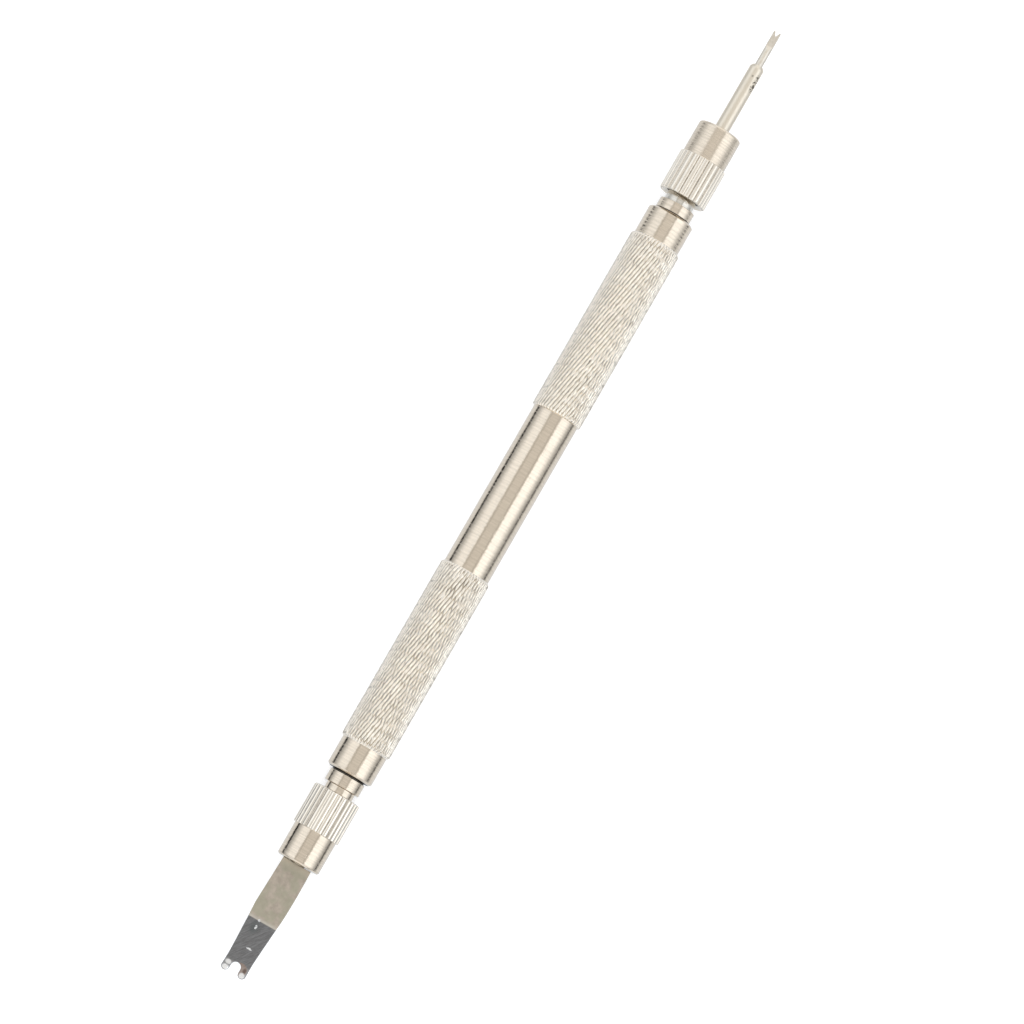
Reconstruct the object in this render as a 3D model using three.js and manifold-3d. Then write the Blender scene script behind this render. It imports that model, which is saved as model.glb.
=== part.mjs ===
// Double-ended spring bar tool for watch work. Millimetres, +Z up.
// The tool lies on its grips along X: the fine fork points to +X, the wide fork blade to -X,
// and both forks lie flat. The origin is under the middle of its length, on the surface it rests on.
import * as THREE from 'three';
import { mergeVertices } from 'three/addons/utils/BufferGeometryUtils.js';
import Module from 'manifold-3d';

const wasm = await Module();
wasm.setup();

// ---- driving dimensions ----
const FACETS = 32;                 // flats round every turned piece, one of them facing straight down
const RUNNING = 0.1;               // radial clearance between turned pieces
const SEAT = 0.15;                 // gap left where one piece seats on another

const BAR = {
  length: 83.1, radius: 3.175, endChamfer: 0.25,
  plainEnd: 4.05, gripLength: 26, gripRadius: 3.475, gripChamfer: 0.32,
  boreDepth: 9.6, boreMouth: 0.2,
};
const STUB = {
  pressRadius: 1.8, pressLength: 9, undercutRadius: 2.28, collarRadius: 2.46, collarChamfer: 0.15,
  spigotRadius: 2.0, spigotInNut: 5.0, spigotChamfer: 0.3,
  boreRadius: 1.08, boreDepth: 9.4, coneRadius: 1.62, coneDepth: 0.9,
};
const NUT = {
  length: 10.2, flutedLength: 5.6, flutedRadius: 3.25, smoothRadius: 2.98, noseRound: 0.2,
  mouthRadius: 2.85, mouthDepth: 0.55, mouthChamfer: 0.12, holeRadius: 1.1, holeLength: 1.1,
  coneRadius: 1.95, coneStart: 6.6, coneEndRadius: 1.5,
  flutes: 25, fluteDepth: 0.14, fluteSlope: 1.1,
};
const COLLET = {
  radius: 1.72, boreRadius: 1.05, backRadius: 1.3, noseRadius: 1.3,
  back: 4.5, backConeEnd: 5.3, noseConeStart: 6.5, nose: 8.9, slot: 0.3, slotRoot: 5.9,
};
const ROD = { radius: 0.975, tangDepth: 9.6, endChamfer: 0.12, flattening: 0.6, tangOverlap: 0.3 };
// stations along the blade are measured out from its shoulders
const BLADE = {
  reach: 29.27, thickness: 0.9, tipThickness: 0.42, skew: THREE.MathUtils.degToRad(1),
  rootWidth: 4.0, wideWidth: 4.26, groundWidth: 3.98, neckWidth: 3.42, prongWidth: 3.54,
  widestAt: 6.75, groundFrom: 8.65, neckFromTip: 2.1, neckEase: 2, belly: 0.12,
  notchWidth: 1.35, notchDepth: 1.7, tipBevel: 0.45,
};
const PIN = {
  reach: 27.71, radius: 0.525, shankEnd: 22.6, shankChamfer: 0.4, shankEndRadius: 0.74,
  seatDepth: 3, flatLength: 2.2, flatRun: 0.5, flatThickness: 0.55, notchWidth: 0.66, notchDepth: 0.68,
};
// the undercut's end, the narrow collar's outer face and the nut's mouth, measured out from each end of the bar
const BLADE_END = { side: -1, undercut: 0.25, collarFace: 1.9, nutMouth: 2.83 };
const PIN_END = { side: 1, undercut: 0.14, collarFace: 1.51, nutMouth: 2.58 };
const FACE_GAP = 0.03;             // clearance between a stub's shoulder and the bar's end face
const OVERCUT = 1;                 // how far a cutting shape runs past the piece it cuts
const WIDE_CUT = 8;                // wider than any flat piece

// ---- materials ----
const metal = (color, roughness) => new THREE.MeshStandardMaterial({ color, roughness, metalness: 1 });
const finishes = {
  nickelPlate: metal(0xd9d1c0, 0.22),
  nutPlate: metal(0xdbd4c4, 0.26),
  colletSteel: metal(0x9a9a98, 0.35),
  bladePlate: metal(0xb0a898, 0.5),
  shankPlate: metal(0xcfc8b9, 0.3),
  groundSteel: metal(0xb4b6b8, 0.38),
};

// ---- helpers: shapes ----
// Turns a profile of [radius, height] points about local Y. The flats, not the corners, lie at the
// stated radius, so a bore never reaches inside its radius.
function turned(points) {
  const cornerScale = 1 / Math.cos(Math.PI / FACETS);
  const profile = points.map(([radius, height]) => new THREE.Vector2(radius * cornerScale, height));
  return new THREE.LatheGeometry(profile, FACETS, Math.PI / FACETS, 2 * Math.PI);
}

// A flat outline in local XY, extruded to a thickness centred on Z.
function plate(shape, thickness) {
  const geometry = new THREE.ExtrudeGeometry(shape, { depth: thickness, bevelEnabled: false });
  return geometry.translate(0, 0, -thickness / 2);
}

// An outline given as [across, height] points, extruded along local X: the side view of a flat piece.
function sideCut(points, width) {
  const shape = new THREE.Shape(points.map(([z, y]) => new THREE.Vector2(-z, y)));
  const geometry = plate(shape, width);
  return geometry.rotateY(Math.PI / 2);
}

// ---- helpers: joining and cutting ----
function toSolid(geometry) {
  const bare = geometry.clone();
  bare.deleteAttribute('normal');
  bare.deleteAttribute('uv');
  const merged = mergeVertices(bare, 1e-5);
  return new wasm.Manifold(new wasm.Mesh({
    numProp: 3,
    vertProperties: new Float32Array(merged.attributes.position.array),
    triVerts: new Uint32Array(merged.index.array),
  }));
}

function toGeometry(solid) {
  const mesh = solid.getMesh();
  const geometry = new THREE.BufferGeometry();
  geometry.setAttribute('position', new THREE.BufferAttribute(mesh.vertProperties, 3));
  geometry.setIndex(new THREE.BufferAttribute(mesh.triVerts, 1));
  geometry.computeVertexNormals();
  return geometry;
}

function piece(name, geometry, material) {
  const mesh = new THREE.Mesh(geometry, material);
  mesh.name = name;
  return mesh;
}

// ---- the bar ----
// One bar lying along local Y, centred on the origin. The profile runs from one blind bore's bottom,
// out over the bar and back down the other bore.
function handleBar() {
  const half = BAR.length / 2;
  const bore = STUB.pressRadius + RUNNING;
  const gripOut = half - BAR.plainEnd;
  const gripIn = gripOut - BAR.gripLength;
  const quarter = [
    [0, half - BAR.boreDepth],
    [bore, half - BAR.boreDepth],
    [bore, half - BAR.boreMouth],
    [bore + BAR.boreMouth, half],
    [BAR.radius - BAR.endChamfer, half],
    [BAR.radius, half - BAR.endChamfer],
    [BAR.radius, gripOut],
    [BAR.gripRadius, gripOut - BAR.gripChamfer],
    [BAR.gripRadius, gripIn + BAR.gripChamfer],
    [BAR.radius, gripIn],
  ];
  const mirrored = quarter.map(([radius, y]) => [radius, -y]).reverse();
  const profile = [...quarter, ...mirrored].reverse();
  return piece('handle_bar', turned(profile), finishes.nickelPlate);
}

// ---- the chuck, built out along local Y from the bar's end face ----
// Spigot pressed into the bar: press shank, undercut, narrow collar, neck and threaded end with a coned bore.
function chuckStub(name, end) {
  const face = end.nutMouth + STUB.spigotInNut;
  const profile = [
    [0, -STUB.pressLength],
    [STUB.pressRadius, -STUB.pressLength],
    [STUB.pressRadius, FACE_GAP],
    [STUB.undercutRadius, FACE_GAP],
    [STUB.undercutRadius, end.undercut],
    [STUB.collarRadius, end.undercut],
    [STUB.collarRadius, end.collarFace - STUB.collarChamfer],
    [STUB.collarRadius - STUB.collarChamfer, end.collarFace],
    [STUB.spigotRadius, end.collarFace],
    [STUB.spigotRadius, face - STUB.spigotChamfer],
    [STUB.spigotRadius - STUB.spigotChamfer, face],
    [STUB.coneRadius, face],
    [STUB.boreRadius, face - STUB.coneDepth],
    [STUB.boreRadius, face - STUB.boreDepth],
    [0, face - STUB.boreDepth],
  ];
  return piece(name, turned(profile), finishes.nickelPlate);
}

// The nut's turned form: countersunk mouth, thread bore, collet cone and nose hole.
function nutBlank() {
  const thread = STUB.spigotRadius + RUNNING;
  const noseAngles = [Math.PI / 8, Math.PI / 4, (3 * Math.PI) / 8];
  const noseArc = noseAngles.map((angle) => [
    NUT.smoothRadius - NUT.noseRound * (1 - Math.cos(angle)),
    NUT.length - NUT.noseRound * (1 - Math.sin(angle)),
  ]);
  const profile = [
    [NUT.mouthRadius, 0],
    [NUT.flutedRadius - NUT.mouthChamfer, 0],
    [NUT.flutedRadius, NUT.mouthChamfer],
    [NUT.flutedRadius, NUT.flutedLength],
    [NUT.smoothRadius, NUT.flutedLength],
    [NUT.smoothRadius, NUT.length - NUT.noseRound],
    ...noseArc,
    [NUT.smoothRadius - NUT.noseRound, NUT.length],
    [NUT.holeRadius, NUT.length],
    [NUT.holeRadius, NUT.length - NUT.holeLength],
    [NUT.coneEndRadius, NUT.length - NUT.holeLength],
    [NUT.coneRadius, NUT.coneStart],
    [thread, NUT.coneStart - RUNNING],
    [thread, NUT.mouthDepth],
    [NUT.mouthRadius, 0],
  ];
  return toSolid(turned(profile));
}

// One V groove's cutter, pointing in at the nut's axis from its fluted surface.
function fluteCutter(index) {
  const crest = NUT.flutedRadius + NUT.fluteDepth;
  const half = 2 * NUT.fluteDepth * NUT.fluteSlope;
  const shape = new THREE.Shape([
    new THREE.Vector2(NUT.flutedRadius - NUT.fluteDepth, 0),
    new THREE.Vector2(crest, -half),
    new THREE.Vector2(crest, half),
  ]);
  const run = NUT.flutedLength + 2 * OVERCUT;
  const geometry = new THREE.ExtrudeGeometry(shape, { depth: run, bevelEnabled: false });
  geometry.rotateX(-Math.PI / 2);
  geometry.translate(0, -OVERCUT, 0);
  geometry.rotateY((index * 2 * Math.PI) / NUT.flutes);
  return toSolid(geometry);
}

function chuckNut(name, end) {
  let solid = nutBlank();
  for (let index = 0; index < NUT.flutes; index += 1) {
    solid = solid.subtract(fluteCutter(index));
  }
  const mesh = piece(name, toGeometry(solid), finishes.nutPlate);
  mesh.position.y = end.nutMouth;
  return mesh;
}

// Split collet: a double cone with two crossing slots, so that four jaws share one back ring.
function splitCollet(name, end) {
  const profile = [
    [COLLET.boreRadius, COLLET.back],
    [COLLET.backRadius, COLLET.back],
    [COLLET.radius, COLLET.backConeEnd],
    [COLLET.radius, COLLET.noseConeStart],
    [COLLET.noseRadius, COLLET.nose],
    [COLLET.boreRadius, COLLET.nose],
    [COLLET.boreRadius, COLLET.back],
  ];
  let solid = toSolid(turned(profile));
  const slotLength = COLLET.nose - COLLET.slotRoot + OVERCUT;
  for (const turn of [Math.PI / 4, -Math.PI / 4]) {
    const slot = new THREE.BoxGeometry(3 * COLLET.radius, slotLength, COLLET.slot);
    slot.translate(0, COLLET.slotRoot + slotLength / 2, 0);
    slot.rotateY(turn);
    solid = solid.subtract(toSolid(slot));
  }
  const mesh = piece(name, toGeometry(solid), finishes.colletSteel);
  mesh.position.y = end.nutMouth;
  return mesh;
}

// ---- the wide fork: a flattened rod ----
// Its outline, out from the shoulders at y = 0. One side has a sharp corner at the widest place, the
// other runs round it in a curve.
function bladeOutline(length) {
  const root = BLADE.rootWidth / 2;
  const wide = BLADE.wideWidth / 2;
  const ground = BLADE.groundWidth / 2;
  const neck = BLADE.neckWidth / 2;
  const notch = BLADE.notchWidth / 2;
  const prong = (BLADE.prongWidth - BLADE.notchWidth) / 4;
  const prongCentre = notch + prong;
  const prongEnd = length - prong;
  const neckAt = length - BLADE.neckFromTip;
  const notchRoot = length - BLADE.notchDepth + notch;
  const shape = new THREE.Shape();
  shape.moveTo(-root, 0);
  shape.quadraticCurveTo(-wide - BLADE.belly, BLADE.widestAt, -ground, BLADE.groundFrom);
  shape.quadraticCurveTo(-neck, neckAt - BLADE.neckEase, -neck, neckAt);
  shape.lineTo(-BLADE.prongWidth / 2, prongEnd);
  shape.absarc(-prongCentre, prongEnd, prong, Math.PI, 0, true);
  shape.lineTo(-notch, notchRoot);
  shape.absarc(0, notchRoot, notch, Math.PI, 0, false);
  shape.lineTo(notch, prongEnd);
  shape.absarc(prongCentre, prongEnd, prong, Math.PI, 0, true);
  shape.lineTo(neck, neckAt);
  shape.quadraticCurveTo(neck, neckAt - BLADE.neckEase, ground, BLADE.groundFrom);
  shape.lineTo(wide, BLADE.widestAt);
  shape.lineTo(root, 0);
  return shape;
}

// Side view of the blade: parallel as far as the grinding, then tapered, with bevelled prong ends.
function bladeSide(length) {
  const thick = BLADE.thickness / 2;
  const thin = BLADE.tipThickness / 2;
  const bevel = length - BLADE.tipBevel;
  return sideCut([
    [-thick, -OVERCUT], [-thick, BLADE.groundFrom], [-thin, bevel], [-thin / 2, length],
    [thin / 2, length], [thin, bevel], [thick, BLADE.groundFrom], [thick, -OVERCUT],
  ], WIDE_CUT);
}

// The round tang. Its last stretch, inside the nut's nose, is hammered down to the blade's thickness.
function bladeTang() {
  const rod = toSolid(turned([
    [0, -ROD.tangDepth],
    [ROD.radius - ROD.endChamfer, -ROD.tangDepth],
    [ROD.radius, ROD.endChamfer - ROD.tangDepth],
    [ROD.radius, ROD.tangOverlap],
    [0, ROD.tangOverlap],
  ]));
  const thick = BLADE.thickness / 2 - RUNNING / 2;
  const side = sideCut([
    [-OVERCUT, -ROD.tangDepth - OVERCUT], [-OVERCUT, -ROD.flattening], [-thick, 0], [-thick, OVERCUT],
    [thick, OVERCUT], [thick, 0], [OVERCUT, -ROD.flattening], [OVERCUT, -ROD.tangDepth - OVERCUT],
  ], WIDE_CUT);
  return rod.intersect(toSolid(side));
}

function forkBlade(end) {
  const shoulder = end.nutMouth + NUT.length + SEAT;
  const length = BLADE.reach - shoulder;
  const outline = plate(bladeOutline(length), 2 * BLADE.thickness);
  const flat = toSolid(outline).intersect(toSolid(bladeSide(length)));
  const leaned = toSolid(toGeometry(flat).rotateZ(-BLADE.skew));
  const mesh = piece('fork_blade', toGeometry(leaned.add(bladeTang())), finishes.bladePlate);
  mesh.position.y = shoulder;
  return mesh;
}

// ---- the fine fork: a bored shank with a notched pin staked into it ----
function pinShank() {
  const back = PIN_END.nutMouth + NUT.length - ROD.tangDepth;
  const hole = PIN.radius + RUNNING;
  const profile = [
    [0, back],
    [ROD.radius - ROD.endChamfer, back],
    [ROD.radius, back + ROD.endChamfer],
    [ROD.radius, PIN.shankEnd - PIN.shankChamfer],
    [PIN.shankEndRadius, PIN.shankEnd],
    [hole, PIN.shankEnd],
    [hole, PIN.shankEnd - PIN.seatDepth - RUNNING],
    [0, PIN.shankEnd - PIN.seatDepth - RUNNING],
  ];
  return piece('pin_shank', turned(profile), finishes.shankPlate);
}

function forkPin() {
  const back = PIN.shankEnd - PIN.seatDepth;
  const thick = PIN.flatThickness / 2;
  const flatStart = PIN.reach - PIN.flatLength;
  const runStart = flatStart - PIN.flatRun;
  const past = PIN.reach + OVERCUT;
  const round = toSolid(turned([[0, back], [PIN.radius, back], [PIN.radius, PIN.reach], [0, PIN.reach]]));
  const flats = toSolid(sideCut([
    [-OVERCUT, back - OVERCUT], [-OVERCUT, runStart], [-PIN.radius, runStart], [-thick, flatStart],
    [-thick, past], [thick, past], [thick, flatStart], [PIN.radius, runStart],
    [OVERCUT, runStart], [OVERCUT, back - OVERCUT],
  ], WIDE_CUT));
  const notch = toSolid(plate(new THREE.Shape([
    new THREE.Vector2(0, PIN.reach - PIN.notchDepth),
    new THREE.Vector2(PIN.notchWidth, PIN.reach + PIN.notchDepth),
    new THREE.Vector2(-PIN.notchWidth, PIN.reach + PIN.notchDepth),
  ]), WIDE_CUT));
  return piece('fork_pin', toGeometry(round.intersect(flats).subtract(notch)), finishes.groundSteel);
}

// ---- assembly ----
function chuckGroup(end, meshes, barCentre) {
  const group = new THREE.Group();
  group.position.x = barCentre + (end.side * BAR.length) / 2;
  group.rotation.z = (-end.side * Math.PI) / 2;
  group.add(...meshes);
  return group;
}

function springBarTool() {
  const barCentre = (BLADE.reach - PIN.reach) / 2;
  const tool = new THREE.Group();
  const bar = handleBar();
  bar.rotation.z = -Math.PI / 2;
  bar.position.x = barCentre;
  tool.add(bar);
  tool.add(chuckGroup(BLADE_END, [
    chuckStub('blade_stub', BLADE_END),
    splitCollet('blade_collet', BLADE_END),
    chuckNut('blade_nut', BLADE_END),
    forkBlade(BLADE_END),
  ], barCentre));
  tool.add(chuckGroup(PIN_END, [
    chuckStub('pin_stub', PIN_END),
    splitCollet('pin_collet', PIN_END),
    chuckNut('pin_nut', PIN_END),
    pinShank(),
    forkPin(),
  ], barCentre));
  tool.position.z = BAR.gripRadius;
  const assembly = new THREE.Group();
  assembly.add(tool);
  return assembly;
}

export default springBarTool();
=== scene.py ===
# %% [markdown]
# # A double-ended spring bar tool
#
# A watchmaker levers spring bars out of a strap with this tool. A turned brass bar, nickel plated and
# knurled at both grips, carries a small chuck at each end: one holds a wide fork blade, the other a
# fine notched pin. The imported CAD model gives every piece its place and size. This lesson gives each
# piece its real surface, worked out with numpy, and a metal finish built from shader nodes.

# %% Load the frame
import math

import bmesh
import bpy
import numpy as np
from mathutils import Matrix, Vector


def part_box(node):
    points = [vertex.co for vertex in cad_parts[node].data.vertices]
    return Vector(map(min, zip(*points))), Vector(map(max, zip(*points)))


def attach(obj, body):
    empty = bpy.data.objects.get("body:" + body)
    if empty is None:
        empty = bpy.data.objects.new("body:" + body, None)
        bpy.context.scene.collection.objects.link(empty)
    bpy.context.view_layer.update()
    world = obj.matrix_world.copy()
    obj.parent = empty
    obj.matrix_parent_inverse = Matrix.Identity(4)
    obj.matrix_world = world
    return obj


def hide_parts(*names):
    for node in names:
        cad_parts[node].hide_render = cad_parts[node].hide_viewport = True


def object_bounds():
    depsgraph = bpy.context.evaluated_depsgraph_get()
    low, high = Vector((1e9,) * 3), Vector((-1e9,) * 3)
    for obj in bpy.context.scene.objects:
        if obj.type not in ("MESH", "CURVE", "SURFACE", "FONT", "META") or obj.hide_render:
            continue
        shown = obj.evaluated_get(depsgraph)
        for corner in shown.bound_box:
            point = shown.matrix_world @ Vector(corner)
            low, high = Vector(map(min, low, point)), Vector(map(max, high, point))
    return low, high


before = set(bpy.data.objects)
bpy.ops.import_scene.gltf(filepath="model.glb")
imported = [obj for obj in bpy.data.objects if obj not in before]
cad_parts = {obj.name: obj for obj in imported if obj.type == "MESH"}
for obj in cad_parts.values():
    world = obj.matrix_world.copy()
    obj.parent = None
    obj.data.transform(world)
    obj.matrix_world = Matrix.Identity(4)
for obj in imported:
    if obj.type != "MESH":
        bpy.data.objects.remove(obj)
cad_low, cad_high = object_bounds()
MM = 0.001
AXIS_HEIGHT = (cad_low.z + cad_high.z) / 2
print("tool, mm:", [round(side / MM, 2) for side in cad_high - cad_low])

# %% [markdown]
# ## The camera
#
# A long lens far away keeps the tool almost free of perspective. It looks down at the tool, leaning a
# few degrees towards the wide fork, and is rolled so that the tool lies across the picture. The
# camera's three directions are built by hand, because the roll is about the tool and not the horizon.

# %% Camera
VIEW_DISTANCE = 768 * MM
VIEW_LEAN = math.radians(5.7)
VIEW_ROLL = math.radians(30)
VIEW_LENS = 210.9
AIM_OFFSET = Vector((-1.13, -1.25, 0)) * MM


def make_camera():
    """Axes in words: 'out' points back at the camera, 'along' is the tool as the camera sees it, and
    the picture's right and up are 'along' and -Y turned by the roll."""
    out = Vector((-math.sin(VIEW_LEAN), 0, math.cos(VIEW_LEAN)))
    along = Vector((math.cos(VIEW_LEAN), 0, math.sin(VIEW_LEAN)))
    across = Vector((0, -1, 0))
    right = along * math.sin(VIEW_ROLL) + across * math.cos(VIEW_ROLL)
    up = along * math.cos(VIEW_ROLL) - across * math.sin(VIEW_ROLL)
    aim = (cad_low + cad_high) / 2 + AIM_OFFSET
    camera = bpy.data.objects.new("camera", bpy.data.cameras.new("camera"))
    camera.data.lens = VIEW_LENS
    camera.data.clip_start = 0.05
    camera.data.clip_end = 20
    turn = Matrix((right, up, out)).transposed().to_4x4()
    camera.matrix_world = Matrix.Translation(aim + out * VIEW_DISTANCE) @ turn
    bpy.context.scene.collection.objects.link(camera)
    bpy.context.scene.camera = camera


make_camera()
print("camera at", [round(value, 3) for value in bpy.context.scene.camera.location])

# %% [markdown]
# ## Surfaces from two parameters
#
# Every new piece is one grid of points: row by row along one parameter, column by column along the
# other. The faces follow from the grid by arithmetic. Where a row shrinks to a point, as on an axis,
# merging the doubles closes the pole, and the faces are then turned outwards together.

# %% Grid to mesh
MERGE = 0.0004 * MM
SHARP = math.radians(32)


def grid_faces(rows, columns, wrap_rows, wrap_columns):
    """Quads of a grid: corner (r, c) joins (r, c+1), (r+1, c+1) and (r+1, c), and the last row or column
    joins the first one where it is wrapped."""
    r = np.arange(rows if wrap_rows else rows - 1)[:, None]
    c = np.arange(columns if wrap_columns else columns - 1)[None, :]
    r2, c2 = (r + 1) % rows, (c + 1) % columns
    quads = np.stack([r * columns + c, r * columns + c2, r2 * columns + c2, r2 * columns + c], axis=-1)
    return quads.reshape(-1, 4)


def surface_piece(name, grid, wrap_rows=False, wrap_columns=True, sharp=SHARP):
    """Makes a closed object from grid, an array of rows x columns x 3 in millimetres from the tool's
    axis, with X along the tool. Returns the object, lifted to the axis height."""
    rows, columns = grid.shape[:2]
    points = grid.reshape(-1, 3) * MM + np.array([0, 0, AXIS_HEIGHT])
    mesh = bpy.data.meshes.new(name)
    faces = grid_faces(rows, columns, wrap_rows, wrap_columns)
    mesh.from_pydata(points, [], faces)
    shape = bmesh.new()
    shape.from_mesh(mesh)
    bmesh.ops.remove_doubles(shape, verts=shape.verts, dist=MERGE)
    bmesh.ops.dissolve_degenerate(shape, edges=shape.edges, dist=MERGE / 4)
    bmesh.ops.recalc_face_normals(shape, faces=shape.faces)
    open_edges = sum(1 for edge in shape.edges if len(edge.link_faces) != 2)
    volume = shape.calc_volume(signed=True) / MM**3
    shape.to_mesh(mesh)
    shape.free()
    mesh.shade_smooth()
    mesh.set_sharp_from_angle(angle=sharp)
    piece = bpy.data.objects.new(name, mesh)
    bpy.context.scene.collection.objects.link(piece)
    print(f"{name}: {len(mesh.polygons)} faces, {open_edges} open edges, {volume:.1f} mm3")
    return piece


# %% [markdown]
# ## Softened corners
#
# A lathe tool and years in a drawer leave no perfectly sharp corner, and the thin bright lines round a
# metal piece are those corners catching the light. So each corner of a profile is replaced by a
# short curve, with one more point close on either side, which keeps the long faces flat.

# %% Profiles
CORNER_STEPS = 5
GUARD = 1.2


def softened(points, radius=0.06, closed=False):
    """Each corner P becomes the curve (1-s)^2 A + 2s(1-s) P + s^2 B between the points A and B that lie
    one radius back and one radius on, never past 0.4 of a side, plus a point just before A and after B."""
    p = np.asarray(points, float)
    before = np.roll(p, 1, axis=0)
    after = np.roll(p, -1, axis=0)
    back, on = before - p, after - p
    back_length = np.linalg.norm(back, axis=1, keepdims=True)
    on_length = np.linalg.norm(on, axis=1, keepdims=True)
    reach = np.minimum(radius, 0.4 * np.minimum(back_length, on_length))
    a, b = p + back / back_length * reach, p + on / on_length * reach
    a2, b2 = p + back / back_length * reach * GUARD, p + on / on_length * reach * GUARD
    s = np.linspace(0, 1, CORNER_STEPS)[None, :, None]
    curve = (1 - s) ** 2 * a[:, None] + 2 * s * (1 - s) * p[:, None] + s**2 * b[:, None]
    rows = np.concatenate([a2[:, None], curve, b2[:, None]], axis=1)
    if closed:
        return rows.reshape(-1, 2)
    return np.concatenate([p[:1], rows[1:-1].reshape(-1, 2), p[-1:]])


def full_turn(columns):
    """One row of even angles round the axis, the last one a step short of the first."""
    return np.linspace(0, 2 * np.pi, columns, endpoint=False)[None, :]


def around(x, r, angle):
    """Points at the distance r from the tool's axis: y = -r sin(angle), z = r cos(angle)."""
    return np.stack([x + 0 * angle, -r * np.sin(angle), r * np.cos(angle)], axis=-1)


def revolved(profile, columns=192):
    """Turns (x, r) points about the tool's axis."""
    return around(profile[:, :1], profile[:, 1:], full_turn(columns))


def node_span(node):
    """Lowest and highest x of a CAD node, in millimetres."""
    low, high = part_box(node)
    return low.x / MM, high.x / MM


def place(piece, body, slot, *nodes):
    """Lets a piece ride on its body and lets it stand for its CAD nodes, which it hides. slot is not used."""
    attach(piece, body)
    if nodes:
        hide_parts(*nodes)
    return piece


print("a softened corner has", CORNER_STEPS + 2, "points")

# %% [markdown]
# ## The bar
#
# The bar is one turned piece: a short collar at each end, a knurled grip beside it and a plain waist
# in the middle. Its plain form is a profile turned about the axis, with a blind bore at each end for
# the chuck's shank. The collar at the fine fork's end was turned with a coarse feed, which left shallow
# rings. The two grips are separate sleeves over it, so that each can spend its points on its knurl.

# %% Bar
BAR_RADIUS = 3.175
GRIP_RADIUS = (cad_high.z - cad_low.z) / MM / 2
GRIP_LENGTH = 26
END_COLLAR = 4.05
BORE_RADIUS = 1.9
BORE_DEPTH = 9.6
BORE_CHAMFER = 0.2
BAR_CHAMFER = 0.28
FINE_STEP = 0.05
FEED_PITCH = 0.5
FEED_DEPTH = 0.013
FEED_STOP = 0.45
bar_start, bar_end = node_span("handle_bar")


def bar_profile():
    """From one bore's bottom out over the bar and back to the other bore's bottom, as (x, r)."""
    half = [(BORE_DEPTH, 0), (BORE_DEPTH, BORE_RADIUS), (BORE_CHAMFER, BORE_RADIUS),
            (0, BORE_RADIUS + BORE_CHAMFER), (0, BAR_RADIUS - BAR_CHAMFER), (BAR_CHAMFER, BAR_RADIUS)]
    near = [(bar_start + x, r) for x, r in half]
    far = [(bar_end - x, r) for x, r in reversed(half)]
    return softened(near, 0.12), softened(far, 0.12)


def feed_rings():
    """Cusps between one turn's cut and the next: the radius falls from each crest by FEED_DEPTH times the
    square root of |sin|, half a wave for each pitch."""
    x = np.arange(bar_end - END_COLLAR, bar_end - FEED_STOP, FINE_STEP)
    dip = FEED_DEPTH * np.abs(np.sin(np.pi * (bar_end - x) / FEED_PITCH)) ** 0.5
    return np.stack([x, BAR_RADIUS - dip], axis=-1)


near, far = bar_profile()
bar = surface_piece("bar", revolved(np.concatenate([near, feed_rings(), far])))
place(bar, "root", "nickel_plate", "handle_bar")

# %% [markdown]
# ## The knurled grips
#
# Two wheels are pressed into the turning bar, and each rolls in a family of grooves that wind slowly
# round it. Where the two families cross they leave long thin diamonds. They could be a bump map, but
# the outline of the grip is ragged with them, so they are real points here. The wheels skid and
# double-strike, so grooves drift, fade and come back. Slow seeded waves do that to phase and depth.
# The grid's own columns wind with the first family, so its long streaks come out crisp.

# %% Knurl
STARTS = 46
KNURL_DEPTH = 0.2
GROOVE_LEAD = math.tan(math.radians(12)) / GRIP_RADIUS
GROOVE_SHARE = 0.42
GRIP_CHAMFER = 0.32
ROUND_STEPS = 9
ROW_STEP = 0.121
SKID_WAVES = (5, 6)
FADE_WAVES = (1.8, 18)
ONE_SIDED = 0.28
SLEEVE_TUCK, SLEEVE_WALL = 0.02, 0.15


def drift(x, angle, random, length, turns):
    """A wandering value near -1 to 1: eight sine waves with whole turns round the bar, up to 'turns',
    and with lengths near 'length' along it."""
    total = 0
    for _ in range(8):
        winding = random.integers(-turns, turns + 1)
        pace = 2 * np.pi / (length * random.uniform(0.6, 2.0))
        total = total + np.sin(pace * x + winding * angle + random.uniform(0, 2 * np.pi))
    return total / 3


def land(phase):
    """0 in a groove's middle, where it is a sharp V, rising by tanh to a rounded land midway to the
    next groove."""
    off = 2 * np.abs(phase / (2 * np.pi) - np.round(phase / (2 * np.pi)))
    return np.tanh(off / GROOVE_SHARE) / math.tanh(1 / GROOVE_SHARE)


def knurl_height(x, angle, seed, waver, second_depth):
    """1 on the lands. Each family lowers it by its own depth times (1 - land), and the lower one wins. The
    first family was rolled harder on one side of the bar and the second on the other, as sin(angle)."""
    random = np.random.default_rng(seed)
    wind = STARTS * GROOVE_LEAD * x
    first = land(STARTS * angle - wind + waver * drift(x, angle, random, *SKID_WAVES))
    second = land(STARTS * angle + wind + 1.3 * waver * drift(x, angle, random, *SKID_WAVES))
    lean = ONE_SIDED * np.sin(angle)
    depth_1 = np.clip(0.95 - lean + 0.3 * drift(x, angle, random, *FADE_WAVES), 0.3, 1)
    depth_2 = np.clip(second_depth + lean + 0.35 * drift(x, angle, random, *FADE_WAVES), 0.15, 1)
    return np.minimum(1 - depth_1 * (1 - first), 1 - depth_2 * (1 - second))


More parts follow.
